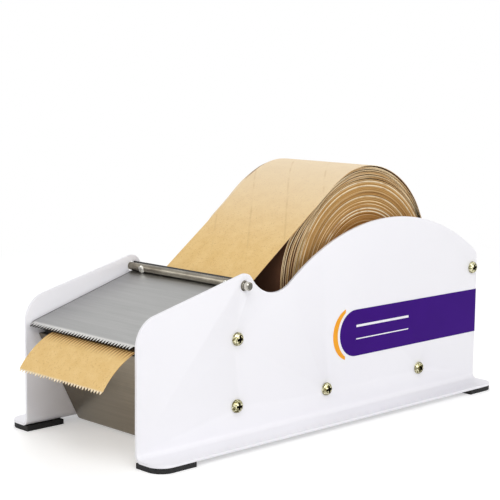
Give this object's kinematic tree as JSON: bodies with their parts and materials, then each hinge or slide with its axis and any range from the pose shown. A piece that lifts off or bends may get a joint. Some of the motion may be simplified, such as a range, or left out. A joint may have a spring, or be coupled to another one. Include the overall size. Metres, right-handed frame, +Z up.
{
  "type": "gummed tape dispenser",
  "caption": "Counter-top dispenser that wets gummed paper tape over a brush and tears it at a hinged, toothed cover; roll on two rollers between folded side plates.",
  "frame": {"origin": "on the table, at the middle of the footprint's bounding box", "axes": "+X to the machine's right side as seen from the front, +Y from the cutter to the rear, +Z up"},
  "size_m": [0.1412, 0.3198, 0.1553],
  "materials": {
    "powder_coat": "smooth white powder coat, low gloss",
    "foot_rubber": "matt black sheet rubber",
    "zinc_screw": "yellow zinc plating, bright with a faint rainbow",
    "bright_rod": "bright turned steel",
    "roller_steel": "drawn steel tube, satin",
    "nylon": "natural nylon",
    "tank_stainless": "brushed stainless sheet, dark reflections",
    "brush_plastic": "black moulded block",
    "bristle": "black nylon bristles",
    "hinge_steel": "drawn steel rod",
    "cover_stainless": "stainless sheet, brushed across the width",
    "small_screw": "bright steel",
    "roll_paper": "edges of wound kraft paper",
    "core_board": "grey-brown core board",
    "kraft_tape": "gummed kraft paper, matt outside",
    "label_purple": "printed vinyl, satin",
    "label_orange": "printed vinyl, satin"
  },
  "bodies": {
    "frame": {"right_side_plate": "powder_coat", "left_side_plate": "powder_coat", "front_right_foot": "foot_rubber", "rear_right_foot": "foot_rubber", "front_left_foot": "foot_rubber", "rear_left_foot": "foot_rubber", "right_side_screws": "zinc_screw", "left_side_screws": "zinc_screw", "upper_tank_tie_rod": "bright_rod", "lower_tank_tie_rod": "bright_rod", "rear_tie_rod": "bright_rod", "front_roller_axle": "bright_rod", "rear_roller_axle": "bright_rod", "water_tank": "tank_stainless", "brush_clip": "tank_stainless", "brush_block": "brush_plastic", "brush_bristles": "bristle", "tape_web": "kraft_tape", "side_label": "label_purple", "label_crescent": "label_orange"},
    "cover": {"hinge_rod": "hinge_steel", "cover_plate": "cover_stainless", "cover_screws": "small_screw"},
    "roll": {"tape_roll": "roll_paper", "roll_core": "core_board"},
    "front_roller": {"front_roller_tube": "roller_steel", "front_roller_bushes": "nylon"},
    "rear_roller": {"rear_roller_tube": "roller_steel", "rear_roller_bushes": "nylon"}
  },
  "joints": [
    {"name": "cover_hinge", "type": "hinge", "parent": "frame", "child": "cover", "pos_m": [0, -0.06028, 0.092], "axis": [-1, 0, 0], "range_deg": [0, 140]},
    {"name": "roll_spin", "type": "hinge", "parent": "frame", "child": "roll", "pos_m": [0, 0.05472, 0.08364], "axis": [1, 0, 0], "continuous": true},
    {"name": "front_roller_spin", "type": "hinge", "parent": "frame", "child": "front_roller", "pos_m": [0, 0.01012, 0.0205], "axis": [1, 0, 0], "continuous": true},
    {"name": "rear_roller_spin", "type": "hinge", "parent": "frame", "child": "rear_roller", "pos_m": [0, 0.09932, 0.0205], "axis": [1, 0, 0], "continuous": true}
  ],
  "couplings": [
    {"joint": "front_roller_spin", "follows": "roll_spin", "ratio": -11.833},
    {"joint": "rear_roller_spin", "follows": "roll_spin", "ratio": -11.833}
  ]
}
